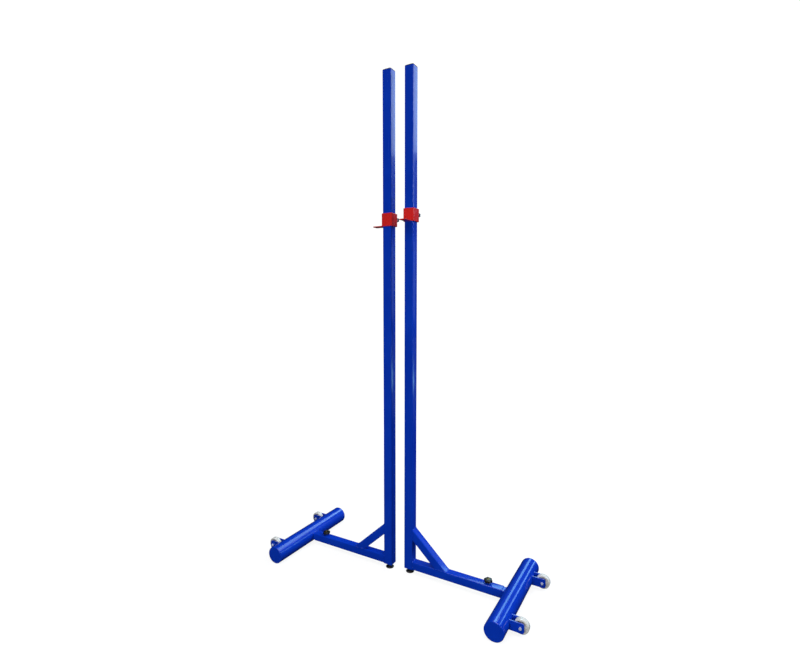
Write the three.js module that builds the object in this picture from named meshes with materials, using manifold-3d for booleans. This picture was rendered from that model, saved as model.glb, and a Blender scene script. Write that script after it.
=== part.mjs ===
// A pair of free-standing high jump standards in painted square steel tube.
// Each has an upright, a foot with a brace, a ballast drum with two transport wheels,
// a levelling foot, and a sliding sleeve whose plate carries one end of the crossbar.
// Millimetres, +Z up. The origin is on the floor, half way between the two uprights.
// X runs along the feet, and Y along the ballast drums.
import * as THREE from "three";
import { mergeVertices } from "three/addons/utils/BufferGeometryUtils.js";
import Module from "manifold-3d";

const wasm = await Module();
wasm.setup();

// Fits that the whole part shares
const WELD_GAP = 0.3; // between faces that are welded together or rest on each other
const THREAD_GAP = 0.3; // round a screw, stud or axle, on the radius
const OVERRUN = 5; // how far a cutting tool runs past what it cuts

// The pair, as it stands
const PAIR_SPACING = 120; // between the uprights' centres, along X
const PAIR_OFFSET = 17; // between the uprights' centres, along Y
const LEFT_BAR_HEIGHT = 1882; // top of the left support plate
const RIGHT_BAR_HEIGHT = 1900; // top of the right support plate

// Upright
const POST_SIZE = 50;
const POST_WALL = 2;
const POST_BEND = 3; // inside corner radius
const POST_TOP = 2650;
const POST_FLOOR = 6; // plate that closes the bottom end and holds the levelling stud
const CAP_RISE = 9;
const CAP_EDGE = 1.2; // straight rim under the dome
const CAP_SKIRT = 18; // what goes down inside the tube
const CAP_SKIRT_WALL = 2;

// Levelling foot
const PAD_DIAMETER = 45;
const PAD_RIM = 4;
const PAD_NECK_DIAMETER = 22;
const PAD_HEIGHT = 12;
const PAD_FLOOR = 5; // plastic under the end of the stud
const STUD_DIAMETER = 12;
const STUD_LENGTH = 68;

// Foot and brace, cut from the same tube
const FOOT_SIZE = 45;
const FOOT_WALL = 2;
const FOOT_BEND = 2.5; // inside corner radius
const FOOT_LENGTH = 502;
const BRACE_REACH = 200; // from the upright's face to the brace's outer toe
const BRACE_RISE = 185; // from the foot's top to the brace's upper toe

// Ballast drum and the stub that slides into the foot
const DRUM_DIAMETER = 95;
const DRUM_WALL = 3;
const DRUM_LENGTH = 600; // over both end plates
const DRUM_END = 4;
const STUB_PLAY = 0.5; // a side, in the foot
const STUB_WALL = 2;
const STUB_BEND = 2; // inside corner radius
const STUB_SHOWN = 9; // between the foot's end and the drum
const STUB_INSIDE = 200;

// Clamp on the foot
const CLAMP_INSET = 77; // from the foot's end to the screw
const CLAMP_SCREW_DIAMETER = 10;
const CLAMP_NUT_HEIGHT = 5;
const CLAMP_KNOB_GAP = 1; // between the nut and the knob
const CLAMP_KNOB_DIAMETER = 45;
const CLAMP_KNOB_HEIGHT = 18;
const CLAMP_KNOB_SINK = 1; // how far the screw's end lies under the knob's top
const CLAMP_KNOB_LOBES = 6;

// Transport wheels and their ears
const WHEEL_DIAMETER = 70;
const WHEEL_WIDTH = 26;
const WHEEL_RIM = 8;
const WHEEL_WEB = 9;
const WHEEL_CROWN = 2; // rounding of the tread's edges
const HUB_DIAMETER = 24;
const HUB_WIDTH = 36;
const HUB_PLAY = 0.5; // between the hub and each ear
const WHEEL_CLEARANCE = 12.5; // between the tread and the drum
const WHEEL_INSET = 105; // from the drum's end to the wheel's middle
const EAR_THICKNESS = 5;
const EAR_HEIGHT = 48;
const EAR_TIP = 17; // past the axle
const EAR_CORNER = 11;
const AXLE_DIAMETER = 8;
const AXLE_END = 2; // bolt end that shows past the nut

// Sleeve, support plate and clamp screw
const SLEEVE_SLACK = 3.5; // a side, round the upright
const SLEEVE_WALL = 2.5;
const SLEEVE_BEND = 3; // inside corner radius
const SLEEVE_HEIGHT = 66;
const SUPPORT_LENGTH = 60;
const SUPPORT_WIDTH = 40;
const SUPPORT_THICKNESS = 5;
const SUPPORT_CORNER = 4;
const BOSS_DIAMETER = 18;
const BOSS_LENGTH = 12;
const SLEEVE_SCREW_HEIGHT = 44; // above the sleeve's bottom edge
const SLEEVE_SCREW_DIAMETER = 8;
const SLEEVE_SCREW_SHOWN = 14; // between the boss and the knob
const SLEEVE_SCREW_HELD = 18; // inside the knob
const SLEEVE_KNOB_DIAMETER = 26;
const SLEEVE_KNOB_LENGTH = 30;
const SLEEVE_KNOB_LOBES = 5;

// Proportions of fasteners and knobs
const HEX_FLATS_SHARE = 1.6; // across the flats, of the thread's diameter
const HEX_HEAD_SHARE = 0.65; // a bolt head's height
const HEX_NUT_SHARE = 0.8; // a nut's height
const LOCK_NUT_SHARE = 0.75; // the thinner nut on the levelling stud
const LOBE_DEPTH_SHARE = 0.07; // how deep the hollows between lobes are
const KNOB_BRIM_SHARE = 0.36; // height of the knob's widest ring
const KNOB_CROWN_SHARE = 0.62; // radius of the knob's flat top
const KNOB_FOOT_SHARE = 0.5; // radius of the knob's underside

// Facets round circles and bends
const DRUM_SIDES = 48;
const WHEEL_SIDES = 32;
const ROD_SIDES = 20;
const KNOB_SIDES = 36;
const LOBE_STEPS = 6;
const BEND_STEPS = 2; // each makes two facets in a quarter turn
const EAR_STEPS = 3;
const DOME_STEPS = 5;

// Sizes that follow from the ones above
const drumRadius = DRUM_DIAMETER / 2;
const axisHeight = drumRadius; // the drum lies on the floor
const footTop = axisHeight + FOOT_SIZE / 2;
const postBottom = axisHeight - FOOT_SIZE / 2;
const postFace = POST_SIZE / 2;
const footStart = postFace + WELD_GAP;
const footEnd = footStart + FOOT_LENGTH;
const drumX = footEnd + STUB_SHOWN + drumRadius;
const stubSize = FOOT_SIZE - 2 * (FOOT_WALL + STUB_PLAY);
const stubHeight = axisHeight - (STUB_PLAY - WELD_GAP); // the clamp presses the stub down
const clampX = footEnd - CLAMP_INSET;
const axleX = drumX + drumRadius + WHEEL_CLEARANCE + WHEEL_DIAMETER / 2;
const axleY = DRUM_LENGTH / 2 - WHEEL_INSET;
const earInside = HUB_WIDTH / 2 + HUB_PLAY;
const sleeveInside = POST_SIZE + 2 * SLEEVE_SLACK;
const sleeveSize = sleeveInside + 2 * SLEEVE_WALL;
const sleeveShift = SLEEVE_SLACK - WELD_GAP; // the screw draws the far wall onto the upright

// Paints, plastics and metals
const finish = (color, roughness, metalness) =>
  new THREE.MeshStandardMaterial({ color, roughness, metalness });
const bluePaint = finish(0x0a2f9c, 0.35, 0.1);
const redPaint = finish(0xb3161d, 0.35, 0.1);
const blackPlastic = finish(0x141416, 0.5, 0);
const whiteNylon = finish(0xe4e4e0, 0.45, 0);
const zincPlate = finish(0xb4b8bd, 0.35, 1);
const yellowZinc = finish(0x9a8258, 0.4, 1);
const concrete = finish(0x8d8b86, 0.95, 0);

// A solid that can be joined and cut, from a closed geometry
function solidOf(geometry) {
  const bare = geometry.clone();
  bare.deleteAttribute("normal");
  bare.deleteAttribute("uv");
  const merged = mergeVertices(bare);
  const vertProperties = new Float32Array(merged.attributes.position.array);
  const triVerts = new Uint32Array(merged.index.array);
  return new wasm.Manifold(new wasm.Mesh({ numProp: 3, vertProperties, triVerts }));
}

// The geometry of a joined or cut solid
function geometryOf(solid) {
  const mesh = solid.getMesh();
  const geometry = new THREE.BufferGeometry();
  const corners = new THREE.BufferAttribute(new Float32Array(mesh.vertProperties), 3);
  geometry.setAttribute("position", corners);
  geometry.setIndex(new THREE.BufferAttribute(new Uint32Array(mesh.triVerts), 1));
  geometry.computeVertexNormals();
  return geometry;
}

// A geometry with others cut away from it
function cut(geometry, ...tools) {
  return geometryOf(tools.reduce((solid, tool) => solid.subtract(solidOf(tool)), solidOf(geometry)));
}

// Several geometries joined into one
function join(geometry, ...others) {
  return geometryOf(others.reduce((solid, other) => solid.add(solidOf(other)), solidOf(geometry)));
}

// What two geometries have in common
function common(geometry, other) {
  return geometryOf(solidOf(geometry).intersect(solidOf(other)));
}

// A rectangle with round corners, centred, as a shape or as a hole
function roundRectangle(width, height, radius, Kind = THREE.Shape) {
  const x = width / 2;
  const y = height / 2;
  const outline = new Kind();
  outline.moveTo(x, y - radius);
  outline.absarc(x - radius, y - radius, radius, 0, Math.PI / 2);
  outline.absarc(radius - x, y - radius, radius, Math.PI / 2, Math.PI);
  outline.absarc(radius - x, radius - y, radius, Math.PI, 1.5 * Math.PI);
  outline.absarc(x - radius, radius - y, radius, 1.5 * Math.PI, 2 * Math.PI);
  return outline;
}

// A flat outline pushed up to a height
function push(shape, depth, curveSegments = BEND_STEPS) {
  return new THREE.ExtrudeGeometry(shape, { depth, bevelEnabled: false, curveSegments });
}

// Square tube standing on the ground plane
function squareTube(size, wall, bend, length) {
  const section = roundRectangle(size, size, bend + wall);
  section.holes.push(roundRectangle(size - 2 * wall, size - 2 * wall, bend, THREE.Path));
  return push(section, length);
}

// A round bar from one height to another, on the Z axis
function bar(radius, from, to, sides = ROD_SIDES) {
  const geometry = new THREE.CylinderGeometry(radius, radius, to - from, sides);
  return geometry.rotateX(Math.PI / 2).translate(0, 0, (from + to) / 2);
}

// A round pipe from one height to another, on the Z axis
function pipe(outer, inner, from, to, sides = ROD_SIDES) {
  return cut(bar(outer, from, to, sides), bar(inner, from - OVERRUN, to + OVERRUN, sides));
}

// A hexagon prism from one height to another, on the Z axis
function hexagon(thread, from, to) {
  const corner = (thread * HEX_FLATS_SHARE) / Math.sqrt(3);
  return bar(corner, from, to, 6);
}

// A turned body from a profile of radius and height, on the Z axis
function turned(profile, sides) {
  const points = profile.map(([radius, height]) => new THREE.Vector2(radius, height));
  return new THREE.LatheGeometry(points, sides).rotateX(Math.PI / 2);
}

// One named piece in its group
function add(group, name, geometry, material) {
  const mesh = new THREE.Mesh(geometry, material);
  mesh.name = name;
  group.add(mesh);
  return mesh;
}

// Upright: square tube, closed at the bottom by a plate with the stud's hole
function upright() {
  const tube = squareTube(POST_SIZE, POST_WALL, POST_BEND, POST_TOP - postBottom);
  const floor = push(roundRectangle(POST_SIZE, POST_SIZE, POST_BEND + POST_WALL), POST_FLOOR);
  const hole = bar(STUD_DIAMETER / 2 + THREAD_GAP, -OVERRUN, POST_FLOOR + OVERRUN);
  return cut(join(tube, floor), hole).translate(0, 0, postBottom);
}

// Cap: low dome over the tube's end, curved both ways, with a thin skirt inside the tube
function uprightCap() {
  const top = POST_TOP + WELD_GAP;
  const outline = roundRectangle(POST_SIZE, POST_SIZE, POST_BEND + POST_WALL);
  const dome = common(common(push(outline, CAP_RISE), vault()), vault().rotateZ(Math.PI / 2));
  const inside = POST_SIZE - 2 * (POST_WALL + WELD_GAP);
  const skirt = squareTube(inside, CAP_SKIRT_WALL, POST_BEND - WELD_GAP, CAP_SKIRT + CAP_EDGE);
  return join(dome, skirt.translate(0, 0, -CAP_SKIRT)).translate(0, 0, top);
}

// Low arch that runs along Y, for one of the cap's two curves
function vault() {
  const half = POST_SIZE / 2 + WELD_GAP;
  const outline = new THREE.Shape();
  outline.moveTo(-half, 0);
  outline.lineTo(half, 0);
  outline.lineTo(half, CAP_EDGE);
  outline.absellipse(0, CAP_EDGE, half, CAP_RISE - CAP_EDGE, 0, Math.PI);
  const arch = push(outline, POST_SIZE + 2 * OVERRUN, DOME_STEPS);
  return arch.rotateX(Math.PI / 2).translate(0, POST_SIZE / 2 + OVERRUN, 0);
}

// Levelling pad: flat disc with a coned neck, bored for the stud
function levellingPad() {
  const rim = PAD_DIAMETER / 2;
  const neck = PAD_NECK_DIAMETER / 2;
  const bore = STUD_DIAMETER / 2 + THREAD_GAP;
  const outside = [[0, 0], [rim, 0], [rim, PAD_RIM], [neck, PAD_HEIGHT]];
  const inside = [[bore, PAD_HEIGHT], [bore, PAD_FLOOR], [0, PAD_FLOOR]];
  return turned([...outside, ...inside], WHEEL_SIDES);
}

// Levelling stud: stands in the pad and runs up through the bottom plate
function levellingStud() {
  const foot = PAD_FLOOR + WELD_GAP;
  return bar(STUD_DIAMETER / 2, foot, foot + STUD_LENGTH);
}

// Lock nut under the bottom plate
function lockNut() {
  const top = postBottom - WELD_GAP;
  const bottom = top - STUD_DIAMETER * LOCK_NUT_SHARE;
  const bore = bar(STUD_DIAMETER / 2 + THREAD_GAP, bottom - OVERRUN, top + OVERRUN);
  return cut(hexagon(STUD_DIAMETER, bottom, top), bore);
}

// Foot: level tube from the upright's face, open at its outer end, with the clamp screw's hole
function footTube() {
  const tube = squareTube(FOOT_SIZE, FOOT_WALL, FOOT_BEND, FOOT_LENGTH);
  tube.rotateY(Math.PI / 2).translate(footStart, 0, axisHeight);
  const radius = CLAMP_SCREW_DIAMETER / 2 + THREAD_GAP;
  const hole = bar(radius, axisHeight, footTop + OVERRUN).translate(clampX, 0, 0);
  return cut(tube, hole);
}

// Brace: the same tube on the slant, mitred to the upright and to the foot
function brace() {
  const slant = Math.hypot(BRACE_REACH, BRACE_RISE);
  const pitch = Math.atan2(BRACE_RISE, BRACE_REACH);
  const length = slant + 4 * FOOT_SIZE;
  const tube = squareTube(FOOT_SIZE, FOOT_WALL, FOOT_BEND, length).translate(0, 0, -length / 2);
  tube.rotateY(Math.PI / 2 + pitch);
  const inset = FOOT_SIZE / 2;
  const x = postFace + BRACE_REACH / 2 - inset * Math.sin(pitch);
  const z = footTop + BRACE_RISE / 2 - inset * Math.cos(pitch);
  const corner = new THREE.BoxGeometry(2 * BRACE_REACH, 2 * FOOT_SIZE, 2 * BRACE_RISE);
  corner.translate(BRACE_REACH + postFace + WELD_GAP, 0, BRACE_RISE + footTop + WELD_GAP);
  return common(tube.translate(x, 0, z), corner);
}

// Stub: smaller tube in the foot, its outer end coped to the round of the drum
function stubTube() {
  const start = footEnd - STUB_INSIDE;
  const tube = squareTube(stubSize, STUB_WALL, STUB_BEND, drumX - start);
  tube.rotateY(Math.PI / 2).translate(start, 0, stubHeight);
  return cut(tube, drumTool());
}

// The drum's outside with the weld gap, to cope what is welded to it
function drumTool() {
  const reach = DRUM_LENGTH / 2 + OVERRUN;
  const tool = bar(drumRadius + WELD_GAP, -reach, reach, DRUM_SIDES);
  return tool.rotateX(Math.PI / 2).translate(drumX, 0, axisHeight);
}

// A piece made along Z, laid along Y in the drum's axis
function alongDrum(geometry) {
  return geometry.rotateX(-Math.PI / 2).translate(drumX, 0, axisHeight);
}

// Drum shell: a length of pipe between its end plates
function drumShell() {
  const half = DRUM_LENGTH / 2 - DRUM_END - WELD_GAP;
  return alongDrum(pipe(drumRadius, drumRadius - DRUM_WALL, -half, half, DRUM_SIDES));
}

// Drum end plate, at one end or the other
function drumEnd(direction) {
  const inner = DRUM_LENGTH / 2 - DRUM_END;
  const disc = bar(drumRadius, inner, DRUM_LENGTH / 2, DRUM_SIDES);
  return alongDrum(direction > 0 ? disc : disc.rotateX(Math.PI));
}

// Ballast that fills the drum
function drumFill() {
  const half = DRUM_LENGTH / 2 - DRUM_END - WELD_GAP;
  return alongDrum(bar(drumRadius - DRUM_WALL - WELD_GAP, -half, half, DRUM_SIDES));
}

// Ear: flat plate on edge with round outer corners, bored for the axle and coped to the drum
function ear(y) {
  const length = axleX + EAR_TIP - drumX;
  const top = EAR_HEIGHT / 2;
  const outline = new THREE.Shape();
  outline.moveTo(0, -top);
  outline.lineTo(length - EAR_CORNER, -top);
  outline.absarc(length - EAR_CORNER, EAR_CORNER - top, EAR_CORNER, 1.5 * Math.PI, 2 * Math.PI);
  outline.absarc(length - EAR_CORNER, top - EAR_CORNER, EAR_CORNER, 0, Math.PI / 2);
  outline.lineTo(0, top);
  const plate = push(outline, EAR_THICKNESS, EAR_STEPS).translate(0, 0, -EAR_THICKNESS / 2);
  const hole = bar(AXLE_DIAMETER / 2 + THREAD_GAP, -EAR_THICKNESS, EAR_THICKNESS);
  const bored = cut(plate, hole.translate(axleX - drumX, 0, 0));
  return cut(bored.rotateX(Math.PI / 2).translate(drumX, y, axisHeight), drumTool());
}

// Wheel: moulded nylon with a rim, a thin web and a long hub, on the Z axis
function wheel() {
  const rim = WHEEL_DIAMETER / 2;
  const rimInside = rim - WHEEL_RIM;
  const hub = HUB_DIAMETER / 2;
  const bore = AXLE_DIAMETER / 2 + THREAD_GAP;
  const web = WHEEL_WEB / 2;
  const tread = WHEEL_WIDTH / 2;
  const hubEnd = HUB_WIDTH / 2;
  const upper = [
    [rim, tread - WHEEL_CROWN],
    [rim - WHEEL_CROWN, tread],
    [rimInside, tread],
    [rimInside - WHEEL_CROWN, web],
    [hub + WHEEL_CROWN, web],
    [hub, hubEnd],
    [bore, hubEnd],
  ];
  const lower = upper.map(([radius, height]) => [radius, -height]).reverse();
  return turned([...lower, ...upper, lower[0]], WHEEL_SIDES);
}

// Axle bolt: hexagon head, shank through both ears, on the Z axis
function axleBolt() {
  const outside = earInside + EAR_THICKNESS + WELD_GAP;
  const head = hexagon(AXLE_DIAMETER, -outside - AXLE_DIAMETER * HEX_HEAD_SHARE, -outside);
  const end = outside + AXLE_DIAMETER * HEX_NUT_SHARE + AXLE_END;
  return join(head, bar(AXLE_DIAMETER / 2, -outside - WELD_GAP, end));
}

// Axle nut on the far ear, on the Z axis
function axleNut() {
  const from = earInside + EAR_THICKNESS + WELD_GAP;
  const to = from + AXLE_DIAMETER * HEX_NUT_SHARE;
  const bore = bar(AXLE_DIAMETER / 2 + THREAD_GAP, from - OVERRUN, to + OVERRUN);
  return cut(hexagon(AXLE_DIAMETER, from, to), bore);
}

// Knob: a domed turned body with hollows between its lobes, standing on the ground plane
function knob(diameter, height, lobes) {
  const radius = diameter / 2;
  const depth = diameter * LOBE_DEPTH_SHARE;
  const outline = new THREE.Shape();
  const steps = lobes * LOBE_STEPS;
  for (let i = 0; i < steps; i += 1) {
    const angle = (2 * Math.PI * i) / steps;
    const reach = radius - (depth * (1 - Math.cos(lobes * angle))) / 2;
    const point = [reach * Math.cos(angle), reach * Math.sin(angle)];
    if (i === 0) outline.moveTo(...point);
    else outline.lineTo(...point);
  }
  const brim = height * KNOB_BRIM_SHARE;
  const body = turned(
    [
      [0, 0],
      [radius * KNOB_FOOT_SHARE, 0],
      [radius, brim / 2],
      [radius + OVERRUN, brim],
      [radius, height - brim / 2],
      [(radius * (1 + KNOB_CROWN_SHARE)) / 2, height - brim / 8],
      [radius * KNOB_CROWN_SHARE, height],
      [0, height],
    ],
    KNOB_SIDES,
  );
  return common(push(outline, height), body);
}

// Clamp on the foot: weld nut, screw and knob
function footClamp(group, side) {
  const bore = CLAMP_SCREW_DIAMETER / 2 + THREAD_GAP;
  const nutBottom = footTop + WELD_GAP;
  const nutTop = nutBottom + CLAMP_NUT_HEIGHT;
  const nut = hexagon(CLAMP_SCREW_DIAMETER, nutBottom, nutTop);
  const nutBore = bar(bore, nutBottom - OVERRUN, nutTop + OVERRUN);
  add(group, `${side}_foot_clamp_nut`, cut(nut, nutBore).translate(clampX, 0, 0), bluePaint);

  const knobBottom = nutTop + CLAMP_KNOB_GAP;
  const knobTop = knobBottom + CLAMP_KNOB_HEIGHT;
  const star = knob(CLAMP_KNOB_DIAMETER, CLAMP_KNOB_HEIGHT, CLAMP_KNOB_LOBES);
  const through = bar(bore, -OVERRUN, CLAMP_KNOB_HEIGHT + OVERRUN);
  const bored = cut(star, through).translate(clampX, 0, knobBottom);
  add(group, `${side}_foot_clamp_knob`, bored, blackPlastic);

  const tip = stubHeight + stubSize / 2 + WELD_GAP;
  const screw = bar(CLAMP_SCREW_DIAMETER / 2, tip, knobTop - CLAMP_KNOB_SINK);
  add(group, `${side}_foot_clamp_screw`, screw.translate(clampX, 0, 0), yellowZinc);
}

// Ballast unit: stub, filled drum, and two wheels between pairs of ears.
// Wheels and ends are numbered along the drum, from -Y to +Y before the standard is turned.
function ballast(group, side) {
  add(group, `${side}_stub_tube`, stubTube(), bluePaint);
  add(group, `${side}_drum_shell`, drumShell(), bluePaint);
  add(group, `${side}_drum_ballast`, drumFill(), concrete);
  const earMiddle = earInside + EAR_THICKNESS / 2;
  for (const [index, direction] of [-1, 1].entries()) {
    const number = index + 1;
    const y = direction * axleY;
    const onAxle = (geometry) => geometry.rotateX(-Math.PI / 2).translate(axleX, y, axisHeight);
    add(group, `${side}_drum_end_${number}`, drumEnd(direction), bluePaint);
    add(group, `${side}_ear_${number}a`, ear(y - earMiddle), bluePaint);
    add(group, `${side}_ear_${number}b`, ear(y + earMiddle), bluePaint);
    add(group, `${side}_wheel_${number}`, onAxle(wheel()), whiteNylon);
    add(group, `${side}_axle_bolt_${number}`, onAxle(axleBolt()), zincPlate);
    add(group, `${side}_axle_nut_${number}`, onAxle(axleNut()), zincPlate);
  }
}

// Sleeve round the upright at the origin, its bottom edge on the ground plane.
// Its support plate points along +X. Its clamp screw and knob point away from the plate,
// and clampTurn moves them from there to another face.
function sleeve(side, clampTurn) {
  const group = new THREE.Group();
  const face = sleeveSize / 2;
  const shiftX = -sleeveShift * Math.cos(clampTurn);
  const shiftY = -sleeveShift * Math.sin(clampTurn);
  const bore = SLEEVE_SCREW_DIAMETER / 2 + THREAD_GAP;
  const outwards = (geometry) =>
    geometry.rotateY(-Math.PI / 2).rotateZ(clampTurn).translate(0, 0, SLEEVE_SCREW_HEIGHT);

  const tube = squareTube(sleeveSize, SLEEVE_WALL, SLEEVE_BEND, SLEEVE_HEIGHT);
  const hole = outwards(bar(bore, 0, sleeveSize));
  add(group, `${side}_sleeve`, cut(tube.translate(shiftX, shiftY, 0), hole), redPaint);

  const plate = push(supportOutline(), SUPPORT_THICKNESS);
  plate.translate(face + WELD_GAP + shiftX, shiftY, 0);
  add(group, `${side}_support_plate`, plate, redPaint);

  const bossStart = face + sleeveShift + WELD_GAP;
  const bossEnd = bossStart + BOSS_LENGTH;
  const boss = outwards(pipe(BOSS_DIAMETER / 2, bore, bossStart, bossEnd));
  add(group, `${side}_sleeve_boss`, boss, redPaint);

  const knobStart = bossEnd + SLEEVE_SCREW_SHOWN;
  const grip = knob(SLEEVE_KNOB_DIAMETER, SLEEVE_KNOB_LENGTH, SLEEVE_KNOB_LOBES);
  const socket = bar(bore, -OVERRUN, SLEEVE_SCREW_HELD + WELD_GAP);
  const bored = outwards(cut(grip, socket).translate(0, 0, knobStart));
  add(group, `${side}_sleeve_knob`, bored, blackPlastic);

  const tip = postFace + WELD_GAP;
  const screw = bar(SLEEVE_SCREW_DIAMETER / 2, tip, knobStart + SLEEVE_SCREW_HELD);
  add(group, `${side}_sleeve_screw`, outwards(screw), zincPlate);
  return group;
}

// Support plate: square against the sleeve, round at its two free corners
function supportOutline() {
  const half = SUPPORT_WIDTH / 2;
  const inner = SUPPORT_LENGTH - SUPPORT_CORNER;
  const outline = new THREE.Shape();
  outline.moveTo(0, -half);
  outline.lineTo(inner, -half);
  outline.absarc(inner, SUPPORT_CORNER - half, SUPPORT_CORNER, 1.5 * Math.PI, 2 * Math.PI);
  outline.absarc(inner, half - SUPPORT_CORNER, SUPPORT_CORNER, 0, Math.PI / 2);
  outline.lineTo(0, half);
  return outline;
}

// One standard, its upright on the Z axis and its foot along +X
function standard(side, barHeight, sleeveTurn, clampTurn) {
  const group = new THREE.Group();
  add(group, `${side}_upright`, upright(), bluePaint);
  add(group, `${side}_upright_cap`, uprightCap(), blackPlastic);
  add(group, `${side}_levelling_pad`, levellingPad(), blackPlastic);
  add(group, `${side}_levelling_stud`, levellingStud(), zincPlate);
  add(group, `${side}_lock_nut`, lockNut(), zincPlate);
  add(group, `${side}_foot_tube`, footTube(), bluePaint);
  add(group, `${side}_brace`, brace(), bluePaint);
  footClamp(group, side);
  ballast(group, side);
  const slider = sleeve(side, clampTurn);
  slider.rotation.z = sleeveTurn;
  slider.position.z = barHeight - SUPPORT_THICKNESS;
  group.add(slider);
  return group;
}

// The pair stands back to back, feet pointing away from each other
const pair = new THREE.Group();
const left = standard("left", LEFT_BAR_HEIGHT, 0, Math.PI / 2);
left.rotation.z = Math.PI;
left.position.set(-PAIR_SPACING / 2, -PAIR_OFFSET / 2, 0);
const right = standard("right", RIGHT_BAR_HEIGHT, -Math.PI / 2, 0);
right.position.set(PAIR_SPACING / 2, PAIR_OFFSET / 2, 0);
pair.add(left, right);

export default pair;
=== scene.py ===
# A pair of high jump standards in blue powder-coated square tube, with red sliding bar
# supports, black plastic fittings, and filled ballast drums on small white wheels.
# Each section below is one piece or group of like pieces, in the order of assembly.
import math

import bpy
from mathutils import Matrix, Vector


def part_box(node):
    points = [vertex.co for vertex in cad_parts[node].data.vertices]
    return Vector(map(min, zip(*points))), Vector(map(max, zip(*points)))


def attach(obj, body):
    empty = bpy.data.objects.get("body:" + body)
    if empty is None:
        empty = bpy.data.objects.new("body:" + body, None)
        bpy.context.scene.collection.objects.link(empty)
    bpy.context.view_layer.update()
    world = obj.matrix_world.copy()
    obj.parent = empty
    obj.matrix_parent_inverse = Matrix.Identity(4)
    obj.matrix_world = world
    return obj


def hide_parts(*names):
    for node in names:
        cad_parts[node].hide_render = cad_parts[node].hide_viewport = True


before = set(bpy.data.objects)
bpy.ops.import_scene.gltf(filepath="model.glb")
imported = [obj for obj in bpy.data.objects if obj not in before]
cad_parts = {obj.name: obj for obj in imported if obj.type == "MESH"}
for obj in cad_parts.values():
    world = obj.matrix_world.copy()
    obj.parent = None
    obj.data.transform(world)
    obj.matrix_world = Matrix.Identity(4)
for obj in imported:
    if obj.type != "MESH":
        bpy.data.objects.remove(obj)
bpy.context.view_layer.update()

# Camera: stands in front and to the right of the pair, a little over half its height up,
# as the photograph was taken. Angles and place come from a fit to the photograph.
CAMERA_PLACE = (1.2759, -2.2052, 1.5155)
CAMERA_TURN = math.radians(30.05)
CAMERA_DIP = math.radians(5.88)
CAMERA_LENS = 21.66
CAMERA_SHIFT = 0.0152
camera = bpy.data.objects.new("camera", bpy.data.cameras.new("camera"))
camera.data.sensor_width = 36.0
camera.data.lens = CAMERA_LENS
camera.data.shift_y = CAMERA_SHIFT
camera.location = CAMERA_PLACE
camera.rotation_euler = (math.pi / 2 - CAMERA_DIP, 0.0, CAMERA_TURN)
bpy.context.scene.collection.objects.link(camera)
bpy.context.scene.camera = camera


# Studio: a round white cove, which is floor and backdrop in one from every side, with soft
# boxes overhead and round the set. None of it is part of the standards.
# The paper's glow is painted light: dimmest round the feet, and full further out.
DIM_REACH, FULL_REACH = 1.0, 3.0  # how far from the middle the paper glows least, and fully
DIM_GLOW, FULL_GLOW = 0.86, 1.02
COVE_MIDDLE = 3.0
COVE_RADIUS = 13.0
COVE_BEND = 2.5
BEND_STEPS = 12
COVE_HEIGHT = 26.0
COVE_SIDES = 96


def linear(sheet_colour):
    """A colour written as an sRGB hex value, turned to linear light."""
    channels = [int(sheet_colour[i : i + 2], 16) / 255 for i in (0, 2, 4)]
    light = [c / 12.92 if c <= 0.04045 else ((c + 0.055) / 1.055) ** 2.4 for c in channels]
    return (*light, 1.0)


def add_node(tree, kind, inputs=None, **settings):
    """One shader node with its settings. An input is a value, or the output that feeds it."""
    node = tree.nodes.new(kind)
    for name, value in settings.items():
        setattr(node, name, value)
    for name, value in (inputs or {}).items():
        if isinstance(value, bpy.types.NodeSocket):
            tree.links.new(value, node.inputs[name])
        else:
            node.inputs[name].default_value = value
    return node


def new_material(name):
    """An empty material, its node tree, and the place on the piece that patterns follow."""
    material = bpy.data.materials.new(name)
    material.use_nodes = True
    tree = material.node_tree
    tree.nodes.clear()
    return material, tree, add_node(tree, "ShaderNodeTexCoord").outputs["Object"]


def seamless_paper():
    """White background paper: matt, with a painted glow of its own that keeps it white, brighter
    away from the middle where the lamps light it less. Round the feet it glows a little less, so
    that they cast a faint shadow."""
    material, tree, place = new_material("seamless_paper")
    reach = add_node(tree, "ShaderNodeVectorMath", {0: place}, operation="LENGTH")
    glow_level = add_node(
        tree,
        "ShaderNodeMapRange",
        {"Value": reach.outputs["Value"], "From Min": DIM_REACH, "From Max": FULL_REACH,
         "To Min": DIM_GLOW, "To Max": FULL_GLOW},
        interpolation_type="SMOOTHSTEP",
    )
    matt = add_node(tree, "ShaderNodeBsdfDiffuse", {"Color": linear("7c7c7c")})
    # Painted light: the glow that keeps the paper white, dimmer round the feet.
    glow = add_node(tree, "ShaderNodeEmission", {"Strength": glow_level.outputs["Result"]})
    both = add_node(tree, "ShaderNodeAddShader", {0: matt.outputs[0], 1: glow.outputs[0]})
    add_node(tree, "ShaderNodeOutputMaterial", {"Surface": both.outputs[0]})
    return material


cove_profile = [(COVE_MIDDLE, 0.0), (COVE_RADIUS - COVE_BEND, 0.0)]
for step in range(1, BEND_STEPS + 1):
    turn = math.pi / 2 * step / BEND_STEPS
    out = COVE_RADIUS - COVE_BEND + COVE_BEND * math.sin(turn)
    cove_profile.append((out, COVE_BEND - COVE_BEND * math.cos(turn)))
cove_profile.append((COVE_RADIUS, COVE_HEIGHT))
cove_points = []
for radius, height in cove_profile:
    for i in range(COVE_SIDES):
        turn = 2 * math.pi * i / COVE_SIDES
        cove_points.append((radius * math.cos(turn), radius * math.sin(turn), height))
cove_faces = [tuple(range(COVE_SIDES))]
for row in range(len(cove_profile) - 1):
    for i in range(COVE_SIDES):
        j = (i + 1) % COVE_SIDES
        near, far = row * COVE_SIDES, (row + 1) * COVE_SIDES
        cove_faces.append((near + i, far + i, far + j, near + j))
cove_mesh = bpy.data.meshes.new("cove")
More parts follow.
